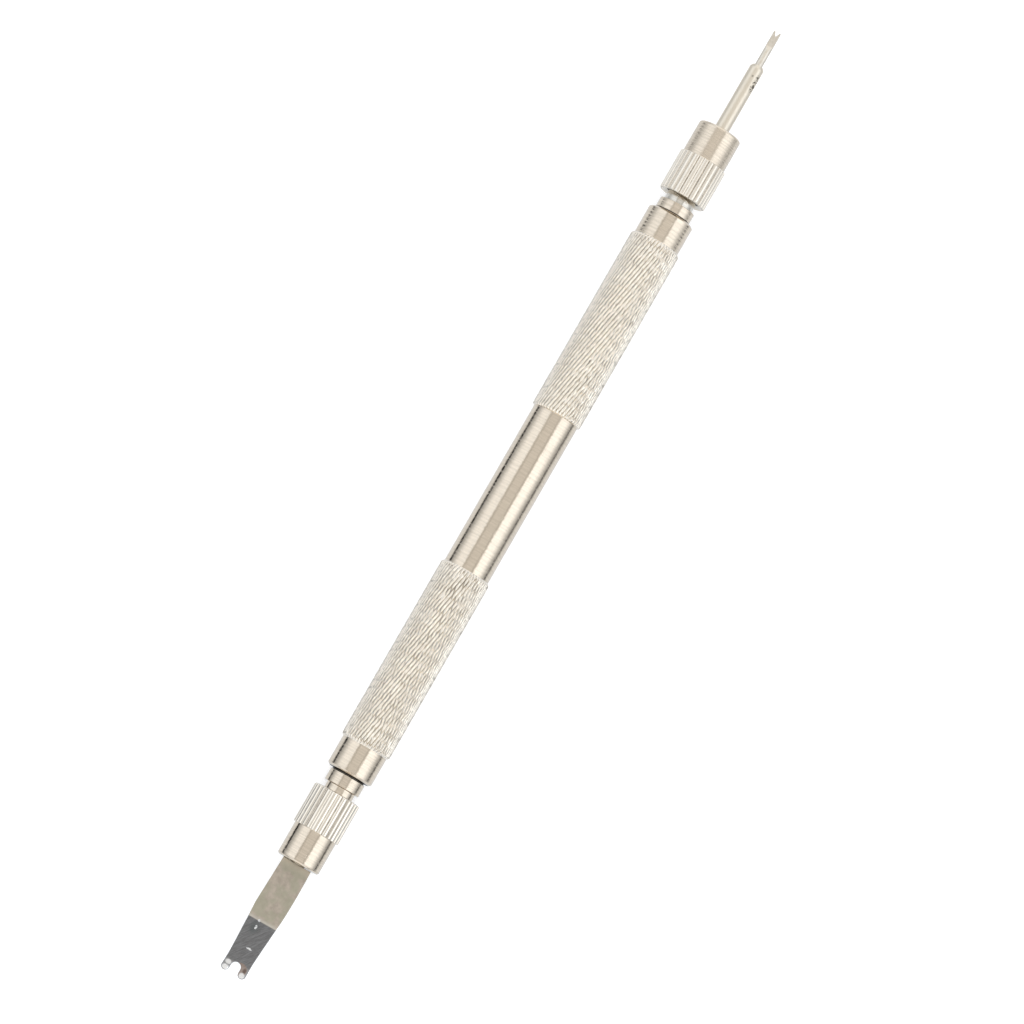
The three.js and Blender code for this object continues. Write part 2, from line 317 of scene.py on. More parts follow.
def grip_grid(start, chamfers, seed, waver, second_depth):
    """Rows run out along the knurled outside and back along a plain inside; the ends taper to the bar."""
    rows = int(GRIP_LENGTH / ROW_STEP)
    columns = full_turn(STARTS * ROUND_STEPS)
    x = np.linspace(0, GRIP_LENGTH, rows)[:, None]
    angle = columns + GROOVE_LEAD * x
    low = BAR_RADIUS - SLEEVE_TUCK
    taper = np.clip(np.minimum(x / chamfers[0], (GRIP_LENGTH - x) / chamfers[1]), 0, 1)
    height = knurl_height(x, angle, seed, waver, second_depth)
    r = low + taper * (GRIP_RADIUS - low - KNURL_DEPTH * (1 - height))
    inside = np.array([GRIP_LENGTH, 0])[:, None]
    inner = around(start + inside, low - SLEEVE_WALL, columns + GROOVE_LEAD * inside)
    return np.concatenate([around(start + x, r, angle), inner])


def make_grip(name, start, chamfers, seed, waver, second_depth):
    grip = surface_piece(name, grip_grid(start, chamfers, seed, waver, second_depth), wrap_rows=True)
    return place(grip, "root", "nickel_plate", "handle_bar")


blade_grip = make_grip("blade_grip", bar_start + END_COLLAR, (GRIP_CHAMFER, GRIP_CHAMFER), 3, 0.2, 0.7)
pin_grip = make_grip("pin_grip", bar_end - END_COLLAR - GRIP_LENGTH, (0.15, GRIP_CHAMFER), 11, 0.15, 0.5)

# %% [markdown]
# ## The chuck spigots
#
# A spigot is pressed into each end of the bar. Outside the bar it shows a shallow undercut, painted dark
# as shade, a narrow collar and a neck. The thread, which starts just inside the nut, could be a coil
# laid round the neck. Here it is cut into the spigot's own grid, so the piece stays one closed skin: the
# radius falls by a wave whose phase advances once per pitch along the tool and once per turn round it.

# %% Spigots
PRESS_RADIUS = 1.8
PRESS_LENGTH = 9
UNDERCUT_RADIUS = 2.28
COLLAR_RADIUS = 2.46
NECK_RADIUS = 2.0
THREAD_PITCH = 0.5
THREAD_DEPTH = 0.27
SPIGOT_BORE = 1.08
SPIGOT_BORE_DEPTH = 9.4
CONE_RADIUS = 1.62
CONE_DEPTH = 0.9
NUT_LENGTH = 10.2
NECK_INTO_NUT = 0.4
THREAD_TIP = 0.3
PRESS_GAP = 0.03


def end_side(node):
    """+1 for a node on the fine fork's side of the tool, -1 for one on the wide fork's side."""
    return 1 if sum(node_span(node)) > 0 else -1


def outward(node, distance):
    """x of a point at a distance out from the bar's end face on the node's side."""
    side = end_side(node)
    return (bar_end if side > 0 else bar_start) + side * distance


def reach_of(node):
    """How far the node's outer end stands out from the bar's end face."""
    low, high = node_span(node)
    return high - bar_end if end_side(node) > 0 else bar_start - low


def spigot_profile(node, undercut, collar_face, neck_end):
    """Press shank, undercut, collar, neck and thread stretch out to the face, then back down the
    coned bore."""
    face = reach_of(node)
    points = [(-PRESS_LENGTH, 0), (-PRESS_LENGTH, PRESS_RADIUS), (PRESS_GAP, PRESS_RADIUS),
              (PRESS_GAP, UNDERCUT_RADIUS), (undercut, UNDERCUT_RADIUS), (undercut, COLLAR_RADIUS),
              (collar_face, COLLAR_RADIUS), (collar_face, NECK_RADIUS), (neck_end, NECK_RADIUS)]
    stations = np.arange(neck_end + FINE_STEP, face - THREAD_TIP, FINE_STEP)
    thread = [(x, NECK_RADIUS) for x in stations]
    tail = [(face, NECK_RADIUS - THREAD_TIP), (face, CONE_RADIUS), (face - CONE_DEPTH, SPIGOT_BORE),
            (face - SPIGOT_BORE_DEPTH, SPIGOT_BORE), (face - SPIGOT_BORE_DEPTH, 0)]
    return softened(points, 0.09), np.array(thread), softened([thread[-1]] + tail, 0.05)


def spigot_grid(node, undercut, collar_face, neck_end, columns=96):
    """The profile turned, with the thread wave taken off the thread stretch's radius."""
    body, thread, tail = spigot_profile(node, undercut, collar_face, neck_end)
    profile = np.concatenate([body, thread, tail])
    angle = full_turn(columns)
    x, r = profile[:, :1], profile[:, 1:]
    row = np.arange(len(profile))[:, None]
    cut = (row >= len(body)) & (row < len(body) + len(thread))
    ends = np.clip((x - neck_end) / THREAD_PITCH, 0, 1)
    wave = land(2 * np.pi * x / THREAD_PITCH - angle)
    r = r - cut * ends * THREAD_DEPTH * (1 - wave)
    return around(outward(node, 0) + end_side(node) * x, r, angle)


def make_spigot(name, node, undercut, collar_face, nut_mouth):
    spigot = surface_piece(name, spigot_grid(node, undercut, collar_face, nut_mouth + NECK_INTO_NUT))
    return place(spigot, "root", "nickel_plate", node)


BLADE_UNDERCUT, BLADE_COLLAR_FACE, BLADE_NUT_MOUTH = 0.25, 1.9, 2.83
PIN_UNDERCUT, PIN_COLLAR_FACE, PIN_NUT_MOUTH = 0.14, 1.51, 2.58
blade_spigot = make_spigot("blade_spigot", "blade_stub", BLADE_UNDERCUT, BLADE_COLLAR_FACE, BLADE_NUT_MOUTH)
pin_spigot = make_spigot("pin_spigot", "pin_stub", PIN_UNDERCUT, PIN_COLLAR_FACE, PIN_NUT_MOUTH)

# %% [markdown]
# ## The chuck nuts
#
# A nut is fluted over its mouth half, so that fingers can turn it, and smooth over its nose half. The
# flutes are cut by taking the lower of two radii at each point: the turned profile's own, and that of
# a crowned land with a V groove beside it. The same rule scallops the mouth's chamfer by itself. A
# straight knurl wheel never indexes quite evenly, so each groove has its own small shift and depth.

# %% Nuts
FLUTES = 25
FLUTE_DEPTH = 0.19
FLUTE_SLOPE = 1.1
LAND_CROWN = 0.13
FLUTED_RADIUS = 3.25
FLUTED_LENGTH = 5.6
SMOOTH_RADIUS = 2.98
NUT_THREAD = 2.12
MOUTH_RADIUS = 2.86
NOSE_HOLE = 1.1
NOSE_WALL = 1.1
MOUTH_CHAMFER, NOSE_CHAMFER, COUNTERSINK = 0.16, 0.2, 0.55
SEAT_START, SEAT_END, SEAT_NARROW, SEAT_WIDE = 6.5, 6.6, 1.5, 1.95
FLUTE_SHIFT = 0.13
FLUTE_DEPTH_SPREAD = (0.7, 1.15)


def nut_profile():
    """Closed (u, r) loop: mouth face, fluted half, smooth half, nose, hole, cone and thread bore."""
    outside = [(0, MOUTH_RADIUS), (0, FLUTED_RADIUS - MOUTH_CHAMFER), (MOUTH_CHAMFER, FLUTED_RADIUS),
               (FLUTED_LENGTH - 0.05, FLUTED_RADIUS), (FLUTED_LENGTH, FLUTED_RADIUS - 0.06),
               (FLUTED_LENGTH, SMOOTH_RADIUS), (NUT_LENGTH - NOSE_CHAMFER, SMOOTH_RADIUS),
               (NUT_LENGTH, SMOOTH_RADIUS - NOSE_CHAMFER)]
    nose_inside = NUT_LENGTH - NOSE_WALL
    inside = [(NUT_LENGTH, NOSE_HOLE), (nose_inside, NOSE_HOLE), (nose_inside, SEAT_NARROW),
              (SEAT_END, SEAT_WIDE), (SEAT_START, NUT_THREAD), (COUNTERSINK, NUT_THREAD)]
    return softened(outside + inside, 0.1, closed=True)


def flute_radius(angle, seed):
    """The land falls off as the square of the distance from its middle, by LAND_CROWN at its edges, and
    the groove's V rises from its root in proportion to the distance from the groove."""
    random = np.random.default_rng(seed)
    shift = random.uniform(-FLUTE_SHIFT, FLUTE_SHIFT, FLUTES)
    deep = random.uniform(*FLUTE_DEPTH_SPREAD, FLUTES)
    step = 2 * np.pi / FLUTES
    index = np.round(angle / step).astype(int)
    crown = LAND_CROWN * (2 * (np.abs(angle / step - index)) - 1) ** 2
    off = np.abs(angle / step - index - shift[index % FLUTES]) * step * FLUTED_RADIUS
    valley = FLUTED_RADIUS - FLUTE_DEPTH * deep[index % FLUTES] + off / FLUTE_SLOPE
    return np.minimum(FLUTED_RADIUS - crown, valley)


def nut_grid(node, mouth, seed):
    """Rows follow the profile from the mouth; the flutes are cut where the radius is above their V."""
    profile = nut_profile()
    angle = full_turn(FLUTES * 20)
    u, r = profile[:, :1], profile[:, 1:]
    r = np.where(r > SMOOTH_RADIUS, np.minimum(r, flute_radius(angle, seed)), r)
    return around(outward(node, mouth) + end_side(node) * u, r, angle)


def make_nut(name, node, body, mouth, seed):
    nut = surface_piece(name, nut_grid(node, mouth, seed), wrap_rows=True)
    return place(nut, body, "nut_plate", node)


blade_chuck_nut = make_nut("blade_chuck_nut", "blade_nut", "blade_nut", BLADE_NUT_MOUTH, 21)
pin_chuck_nut = make_nut("pin_chuck_nut", "pin_nut", "pin_nut", PIN_NUT_MOUTH, 22)

# %% [markdown]
# ## The wide fork
#
# The fork is hammered flat from a rod, and its notch is filed out. Cutting a notch out of a plate
# leaves ragged corners, so the outline is drawn first, as two paths with the same number of steps:
# one round the outside and one along the notch. Both start at one prong's tip and end at the other's.
# The hammered edges are never straight, and corner cutting turns a few measured points into such a line.

# %% Fork outline
ROOT_WIDTH, WIDE_WIDTH, GROUND_WIDTH, NECK_WIDTH, PRONG_WIDTH = 4.0, 4.26, 3.98, 3.42, 3.54
WIDEST_AT, GROUND_FROM = 6.75, 8.65
NECK_FROM_TIP = 2.1
NOTCH_WIDTH, NOTCH_DEPTH = 1.35, 1.7
SHOULDER_GAP = 0.04
TIP_STEPS, WALL_STEPS, EDGE_STEPS, SHOULDER_STEPS = 14, 16, 90, 40
blade_shoulder = BLADE_NUT_MOUTH + NUT_LENGTH + SHOULDER_GAP
blade_length = reach_of("fork_blade") - blade_shoulder
prong_half = (PRONG_WIDTH - NOTCH_WIDTH) / 4
prong_centre = NOTCH_WIDTH / 2 + prong_half
tip_level = blade_length - prong_half


def arc(centre, radius, start, stop, count):
    """Points on a circle from one angle to another, in degrees, as (across, along)."""
    angle = np.radians(np.linspace(start, stop, count))
    return np.stack([centre[0] + radius * np.cos(angle), centre[1] + radius * np.sin(angle)], axis=-1)


def spread(points, count):
    """The same number of steps along each path: points at even distances along a polyline."""
    p = np.asarray(points, float)
    gone = np.concatenate([[0], np.cumsum(np.linalg.norm(np.diff(p, axis=0), axis=1))])
    at = np.linspace(0, gone[-1], count)
    return np.stack([np.interp(at, gone, p[:, 0]), np.interp(at, gone, p[:, 1])], axis=-1)


def eased(points, rounds=3):
    """Corner cutting: each side keeps its points at one and three quarters, so a polyline turns smooth."""
    p = np.asarray(points, float)
    for _ in range(rounds):
        cut = np.stack([0.75 * p[:-1] + 0.25 * p[1:], 0.25 * p[:-1] + 0.75 * p[1:]], axis=1)
        p = np.concatenate([p[:1], cut.reshape(-1, 2), p[-1:]])
    return p


def outside_path(side, sharp_corner):
    """One long edge of the blade, from the prong's side down to the shoulder's corner."""
    neck = blade_length - NECK_FROM_TIP
    lower = [(GROUND_WIDTH / 2, GROUND_FROM), (WIDE_WIDTH / 2, WIDEST_AT)]
    upper = [(PRONG_WIDTH / 2, tip_level), (NECK_WIDTH / 2 + 0.02, neck + 0.5),
             (NECK_WIDTH / 2, neck - 0.4)]
    if sharp_corner:
        path = np.concatenate([eased(upper + lower[:1]), lower[1:], [(ROOT_WIDTH / 2, 0)]])
    else:
        path = eased(upper + lower + [(ROOT_WIDTH / 2 + 0.12, 3), (ROOT_WIDTH / 2, 0)])
    return path * np.array([side, 1])


def blade_paths():
    """Outside and notch paths with matching steps: tip arc, notch side, long edge, shoulder, and back."""
    notch_level = blade_length - NOTCH_DEPTH + NOTCH_WIDTH / 2

    def half(side, sharp_corner):
        tip_out = arc((side * prong_centre, tip_level), prong_half, 90, 90 - side * 90, TIP_STEPS)
        tip_in = arc((side * prong_centre, tip_level), prong_half, 90, 90 + side * 90, TIP_STEPS)
        edge = outside_path(side, sharp_corner)
        split = int(np.argmin(np.abs(edge[:, 1] - notch_level)))
        beside = spread(edge[:split + 1], WALL_STEPS)
        rest = spread(edge[split:], EDGE_STEPS)
        wall_x = side * NOTCH_WIDTH / 2
        wall = spread([(wall_x, tip_level), (wall_x, notch_level)], WALL_STEPS)
        start = 0 if side > 0 else 180
        bottom = arc((0, notch_level), NOTCH_WIDTH / 2, start, start - side * 60, EDGE_STEPS)
        outer = np.concatenate([tip_out, beside[1:], rest[1:]])
        return outer, np.concatenate([tip_in, wall[1:], bottom[1:]])

    out_a, in_a = half(1, True)
    out_b, in_b = half(-1, False)
    shoulder = spread([out_a[-1], out_b[-1]], SHOULDER_STEPS)
    middle = spread(arc((0, notch_level), NOTCH_WIDTH / 2, -60, -120, 60), SHOULDER_STEPS)
    outside = np.concatenate([out_a, shoulder[1:-1], out_b[::-1]])
    notch = np.concatenate([in_a, middle[1:-1], in_b[::-1]])
    return outside, notch


print("blade, mm:", round(blade_length, 2), "long,", len(blade_paths()[0]), "steps round its outline")

# %% [markdown]
# ## The wide fork's body
#
# Now the outline gets its thickness. At each step a rounded rectangle joins the point on the notch's
# edge to the point on the outside edge, so the sections fan out round the bottom of the notch over the
# whole blade, and close to nothing at both tips. The grinding thins the blade towards its prongs, and
# their edges are rubbed rounder than the rest, which one rounding radius that grows tipward gives.

# %% Fork blade
BLADE_THICK = 0.9
BLADE_TIP_THICK = 0.42
TIP_THICK = 0.16
TIP_BEVEL = 0.7
BLADE_SKEW = math.radians(1)
BLADE_EDGE, TIP_ROUND = 0.1, 0.36
ROUND_FROM, ROUND_RUN = 1.7, 0.7
CORNER_POINTS, FACE_POINTS = 6, 20


def blade_half_thickness(along):
    """Parallel up to the grinding, then tapering to the prongs, whose last stretch is a steeper bevel."""
    taper = np.interp(along, [0, GROUND_FROM, blade_length - TIP_BEVEL, blade_length],
                      [BLADE_THICK, BLADE_THICK, BLADE_TIP_THICK, TIP_THICK])
    return taper / 2


def blade_grid():
    """Section loop at each step: corner centres plus a rounding radius times a direction. 'a' runs from
    the notch's edge (0) to the outside (1), and 'b' is the lower or upper face (-1 or 1)."""
    outside, notch = blade_paths()
    corner = np.radians(np.linspace(0, 90, CORNER_POINTS))
    across = np.linspace(0, 1, FACE_POINTS + 2)[1:-1]
    at_notch, at_outside = np.zeros(CORNER_POINTS), np.ones(CORNER_POINTS)
    flat, face = np.zeros(FACE_POINTS), np.ones(2 * CORNER_POINTS + FACE_POINTS)
    a = np.concatenate([at_notch, across, at_outside, at_outside, across[::-1], at_notch])
    b = np.concatenate([face, -face])
    turn = np.concatenate([np.pi - corner, flat + np.pi / 2, np.pi / 2 - corner,
                           -corner, flat - np.pi / 2, -np.pi / 2 - corner])
    gap = np.linalg.norm(outside - notch, axis=1)[:, None]
    level = np.minimum(outside[:, 1], notch[:, 1])[:, None]
    tipward = np.clip((level - (blade_length - ROUND_FROM)) / ROUND_RUN, 0, 1)
    edge = np.minimum(BLADE_EDGE + (TIP_ROUND - BLADE_EDGE) * tipward, 0.5 * gap)
    share = (edge * (1 + np.cos(turn)) + (gap - 2 * edge) * a) / np.maximum(gap, 1e-9)
    flat_xy = notch[:, None] + (outside - notch)[:, None] * share[:, :, None]
    half = blade_half_thickness(flat_xy[:, :, 1])
    edge_high = np.minimum(edge, half)
    z = b * (half - edge_high) + edge_high * np.sin(turn)
    return flat_xy, z


def blade_piece():
    """Leans the flat shape by the skew about the shoulder's middle, and turns it to point along -X."""
    flat_xy, z = blade_grid()
    x, y = flat_xy[..., 0], flat_xy[..., 1]
    leaned_y = y * math.cos(BLADE_SKEW) - x * math.sin(BLADE_SKEW)
    leaned_x = x * math.cos(BLADE_SKEW) + y * math.sin(BLADE_SKEW)
    grid = np.stack([outward("fork_blade", blade_shoulder) - leaned_y, leaned_x, z], axis=-1)
    return surface_piece("wide_fork", grid)


wide_fork = place(blade_piece(), "fork_blade", "blade_plate", "fork_blade")

# %% [markdown]
# ## The wide fork's tang
#
# Behind its shoulders the fork is still the round rod that it was hammered from, and the chuck grips
# that part. It could be joined to the blade's grid, but a rod and a plate have nothing to share row by
# row. So a turned profile gives the rod, and its height is squashed to the blade's thickness where the
# hammering began. That happens just inside the nut's nose, so no step shows.

# %% Fork tang
ROD_RADIUS = 0.975
TANG_DEPTH = 9.6
FLATTENING = 0.6
ROD_CHAMFER = 0.12
TANG_OVERLAP = 0.3


def tang_grid():
    """A plain rod whose z shrinks evenly, over its last stretch inside the nut's nose, to the blade's
    half thickness; it ends buried in the blade."""
    x = outward("fork_blade", blade_shoulder)
    profile = [(TANG_DEPTH, 0), (TANG_DEPTH, ROD_RADIUS - ROD_CHAMFER),
               (TANG_DEPTH - ROD_CHAMFER, ROD_RADIUS), (FLATTENING, ROD_RADIUS), (0, ROD_RADIUS),
               (-TANG_OVERLAP, ROD_RADIUS), (-TANG_OVERLAP, 0)]
    grid = revolved(softened([(x + along, r) for along, r in profile], 0.08), 96)
    squash = np.interp(grid[..., 0] - x, [0, FLATTENING], [(BLADE_THICK / 2 - 0.02) / ROD_RADIUS, 1])
    grid[..., 2] *= squash
    return grid


wide_fork_tang = surface_piece("wide_fork_tang", tang_grid())
place(wide_fork_tang, "fork_blade", "blade_plate", "fork_blade")

# %% [markdown]
# ## The fine fork
#
# The shank is plated rod, bored at its end, and a thin steel pin is staked into the bore. The pin's
# last stretch is ground flat on two sides and notched. A boolean cut would leave long thin faces there,
# so the pin is one grid: its rows are circles whose height is clipped between the flats, and the last
# rows and the end face dip in a V across the middle.

# %% Fine fork
PIN_RADIUS = 0.525
SHANK_END = 22.6
SHANK_CHAMFER = 0.4
SHANK_END_RADIUS = 0.74
PIN_SEAT = 3
FLAT_LENGTH, FLAT_RUN, FLAT_THICK = 2.2, 0.5, 0.55
V_WIDTH, V_DEPTH, V_RUN = 0.66, 0.68, 1.2
RIM_RUN, RIM_ROUND = 0.06, 0.05
shank_back = PIN_NUT_MOUTH + NUT_LENGTH - TANG_DEPTH
pin_reach = reach_of("fork_pin")
pin_face_x = outward("fork_pin", 0)


def shank_profile():
    """Back end, round shank, chamfered end and the bore that holds the pin."""
    hole = PIN_RADIUS + 0.03
    points = [(shank_back, 0), (shank_back, ROD_RADIUS - ROD_CHAMFER),
              (shank_back + ROD_CHAMFER, ROD_RADIUS),
              (SHANK_END - SHANK_CHAMFER, ROD_RADIUS), (SHANK_END, SHANK_END_RADIUS), (SHANK_END, hole),
              (SHANK_END - PIN_SEAT - 0.1, hole), (SHANK_END - PIN_SEAT - 0.1, 0)]
    return softened([(pin_face_x + x, r) for x, r in points], 0.07)


def notched(x, y):
    """Where a row at x ends up: rows near the tip give way to a V as deep as V_DEPTH at y = 0."""
    dip = V_DEPTH * np.clip(1 - np.abs(y) / (V_WIDTH / 2), 0, 1)
    share = np.clip((x - (pin_reach - V_RUN)) / V_RUN, 0, 1)
    return x - dip * share


def pin_grid(columns=120, cap_rows=20):
    """Side rows from the seated end to the tip, then cap rows that shrink to the middle of the tip."""
    flat_start = pin_reach - FLAT_LENGTH
    run_start = flat_start - FLAT_RUN
    stations = [SHANK_END - PIN_SEAT, SHANK_END - PIN_SEAT + FINE_STEP, run_start]
    tail = np.linspace(run_start + 0.02, pin_reach, 60)
    x = np.concatenate([stations[:1], stations, tail, np.full(cap_rows, pin_reach)])[:, None]
    shrink = np.ones(len(x))
    shrink[0] = 0
    shrink[-cap_rows:] = np.linspace(1, 0, cap_rows + 1)[1:]
    angle = full_turn(columns)
    flat = np.interp(x, [run_start, flat_start], [PIN_RADIUS, FLAT_THICK / 2])
    rim = np.interp(x, [pin_reach - RIM_RUN, pin_reach], [0, RIM_ROUND])
    y = -(PIN_RADIUS - rim) * np.sin(angle) * shrink[:, None]
    z = np.clip((PIN_RADIUS - rim) * np.cos(angle), -flat + rim, flat - rim) * shrink[:, None]
    return np.stack([pin_face_x + notched(x, y), y, z + 0 * y], axis=-1)


fine_fork_shank = surface_piece("fine_fork_shank", revolved(shank_profile(), 128))
fine_fork_pin = surface_piece("fine_fork_pin", pin_grid())
place(fine_fork_shank, "fine_fork", "shank_plate", "pin_shank")
place(fine_fork_pin, "fine_fork", "ground_steel", "fork_pin")

# %% [markdown]
# ## Shader nodes in short calls
#
# Every finish below is a tree of small nodes, and the tree should read like the recipe it is. So one
# small class adds a node, fills its inputs and hands back its output, and the usual sums get names.

# %% Node helpers
SOCKETS = {"float": "NodeSocketFloat", "vector": "NodeSocketVector"}


class Nodes:
    """A few short calls for building a node tree."""

    def __init__(self, tree):
        self.tree = tree

    def add(self, kind, settings=None, **inputs):
        """Adds a node, sets its properties and fills its inputs, which are given by their title or as i0, i1
        and so on, with values or with other nodes' outputs."""
        node = self.tree.nodes.new(kind)
        for key, value in (settings or {}).items():
            setattr(node, key, value)
        for key, value in inputs.items():
            self.put(node.inputs[int(key[1:]) if key[1:].isdigit() else key], value)
        return node

    def put(self, socket, value):
        if isinstance(value, bpy.types.NodeSocket):
            self.tree.links.new(value, socket)
        else:
            socket.default_value = value

    def math(self, operation, first, *others):
        """One math node for each further value: first with second, the result with the third and so on."""
        for other in others or (0.0,):
            first = self.add("ShaderNodeMath", {"operation": operation}, i0=first, i1=other).outputs[0]
        return first

    def times(self, *values):
        return self.math("MULTIPLY", *values)

    def plus(self, *values):
        return self.math("ADD", *values)

    def minus(self, first, second):
        return self.math("SUBTRACT", first, second)

    def most(self, *values):
        return self.math("MAXIMUM", *values)

    def size(self, value):
        return self.math("ABSOLUTE", value)

    def layered(self, tone, *layers):
        """Lays colours over tone, one after another, each given as (share, strength, colour)."""
        for share, strength, color in layers:
            tone = self.mix(self.times(share, strength), tone, color)
        return tone

    def blend(self, share, first, second):
        """A number that goes from first to second as share goes from 0 to 1."""
        return self.plus(self.times(first, self.minus(1.0, share)), self.times(share, second))

    def mix(self, share, first, second, blend="MIX"):
        settings = {"data_type": "RGBA", "blend_type": blend}
        return self.add("ShaderNodeMix", settings, i0=share, i6=first, i7=second).outputs[2]

    def ramp(self, value, low, high, out_low=0.0, out_high=1.0):
        """A smooth step from out_low to out_high as value goes from low to high."""
        node = self.add("ShaderNodeMapRange", {"interpolation_type": "SMOOTHSTEP"},
                        i0=value, i1=low, i2=high, i3=out_low, i4=out_high)
        return node.outputs[0]

    def vector(self, operation, first, second=(0, 0, 0), output=0):
        return self.add("ShaderNodeVectorMath", {"operation": operation}, i0=first, i1=second).outputs[output]

    def turned(self, vector, angle):
        """The vector turned about Z by a fixed angle."""
        node = self.add("ShaderNodeVectorRotate", {"rotation_type": "Z_AXIS"}, Vector=vector, Angle=angle)
        return node.outputs[0]

    def split(self, vector):
        return self.add("ShaderNodeSeparateXYZ", Vector=vector).outputs

    def noise(self, vector, scale, detail=2.0, roughness=0.5):
        node = self.add("ShaderNodeTexNoise", Vector=vector, Scale=scale, Detail=detail, Roughness=roughness)
        return node.outputs["Fac"]


def new_group(name, inputs, outputs):
    """An empty node group with named sockets. inputs holds (name, kind, default), outputs (name, kind)."""
    tree = bpy.data.node_groups.new(name, "ShaderNodeTree")
    for title, kind, default in inputs:
        socket = tree.interface.new_socket(title, in_out="INPUT", socket_type=SOCKETS[kind])
        socket.default_value = default
    for title, kind in outputs:
        tree.interface.new_socket(title, in_out="OUTPUT", socket_type=SOCKETS[kind])
    given = tree.nodes.new("NodeGroupInput").outputs
    out = tree.nodes.new("NodeGroupOutput").inputs
    return tree, Nodes(tree), given, out


print("socket kinds:", sorted(SOCKETS))

# %% [markdown]
# ## Where a point is on the tool
#
# Nearly every mark on a turned tool depends on how far along and how far out it is: rings lie across
# it and dirt lies at a groove's radius. So the first group turns object coordinates into those, and
# into an unrolled surface on which scratches and chatter can be drawn as if on a flat sheet.

# %% Group: place on the tool
UNROLL_RADIUS = 3.0


def place_group():
    """Object coordinates in millimetres from the tool's axis, the distance from that axis, and a
    vector that unrolls the surface: along, round and out."""
    outputs = [("Position", "vector"), ("Along", "float"), ("Radius", "float"), ("Unrolled", "vector")]
    tree, n, _, out = new_group("place_on_tool", [], outputs)
    raw = n.add("ShaderNodeTexCoord").outputs["Object"]
    centred = n.vector("SUBTRACT", raw, (0, 0, AXIS_HEIGHT))
    position = n.vector("MULTIPLY", centred, (1 / MM, 1 / MM, 1 / MM))
    x, y, z = n.split(position)
    radius = n.math("SQRT", n.plus(n.times(y, y), n.times(z, z)))
    round_it = n.times(n.math("ARCTAN2", y, z), UNROLL_RADIUS)
    unrolled = n.add("ShaderNodeCombineXYZ", X=x, Y=round_it, Z=radius).outputs[0]
    for title, value in (("Position", position), ("Along", x), ("Radius", radius), ("Unrolled", unrolled)):
        n.put(out[title], value)
    return tree


GROUPS = {"place": place_group()}
print("place_on_tool outputs:", [item.name for item in GROUPS["place"].interface.items_tree])

# %% [markdown]
# ## The marks of the lathe
#
# A lathe leaves rings: wherever the feed or the cut varied a little, a whole ring is brighter or
# duller. The tool's edge also bounces, and that leaves short arcs. A texture painted on would break
# at its seam, but noise that only reads the distance along the tool closes every ring by itself.

# %% Group: lathe rings
def rings_group():
    """Ring is noise along the tool alone. Chatter is noise on the unrolled surface, long round the tool
    and short along it, and leaning a little."""
    inputs = [("Unrolled", "vector", (0, 0, 0)), ("Pitch", "float", 0.3), ("Seed", "float", 0.0)]
    tree, n, given, out = new_group("lathe_rings", inputs, [("Ring", "float"), ("Chatter", "float")])
    along = n.split(given["Unrolled"])[0]
    step = n.plus(n.math("DIVIDE", along, given["Pitch"]), given["Seed"])
    ring = n.add("ShaderNodeTexNoise", {"noise_dimensions": "1D"}, W=step, Scale=1.0, Detail=3.0)
    shifted = n.vector("ADD", n.turned(given["Unrolled"], 0.06), given["Seed"])
    n.put(out["Ring"], n.ramp(ring.outputs["Fac"], 0.3, 0.7))
    n.put(out["Chatter"], n.noise(n.vector("MULTIPLY", shifted, (3.4, 0.55, 0.0)), 1.0, 2.0, 0.6))
    return tree


GROUPS["rings"] = rings_group()
print("lathe_rings nodes:", len(GROUPS["rings"].nodes))

# %% [markdown]
# ## The marks of hands
#
# Fingers leave soft dull blotches on nickel, and a drawer full of tools leaves hair scratches, most of
# them along the tool. Both are noise. The scratches are its highest crests only, cut off by a ramp.

# %% Group: handling marks
def handling_group():
    """Blotch is soft noise. Scratch is stretched noise, along and across, kept only above a high level."""
    inputs = [("Unrolled", "vector", (0, 0, 0)), ("Seed", "float", 0.0)]
    tree, n, given, out = new_group("handling_marks", inputs, [("Blotch", "float"), ("Scratch", "float")])
    shifted = n.vector("ADD", given["Unrolled"], given["Seed"])
    blotch = n.noise(shifted, 0.35, 4.0, 0.6)
    streak = n.noise(n.vector("MULTIPLY", shifted, (0.5, 9.0, 1.0)), 1.0, 3.0, 0.6)
    cross = n.noise(n.vector("MULTIPLY", shifted, (7.0, 0.8, 1.0)), 1.0, 2.0, 0.5)
    n.put(out["Blotch"], n.ramp(blotch, 0.4, 0.7))
    n.put(out["Scratch"], n.most(n.ramp(streak, 0.62, 0.74), n.ramp(cross, 0.68, 0.8)))
    return tree


GROUPS["handling"] = handling_group()
print("handling_marks nodes:", len(GROUPS["handling"].nodes))

# %% [markdown]
# ## Grime and painted shade
#
# Grime stays where a cloth doesn't reach, at the bottom of knurl and flutes, and shade falls there and
# inside bores, where the light doesn't reach. Both are painted into the colour: grooves get grime and
# painted shade together, bores get painted shade only. On a round tool both places are simply a matter
# of radius, so no separate mask has to be painted. The flat nose of a nut is as close to the axis as its
# bore, but open to the light, so the painted shade stops a little short of it.

# %% Group: grime and painted shade in grooves and bores
NOSE_SKIN = 0.12


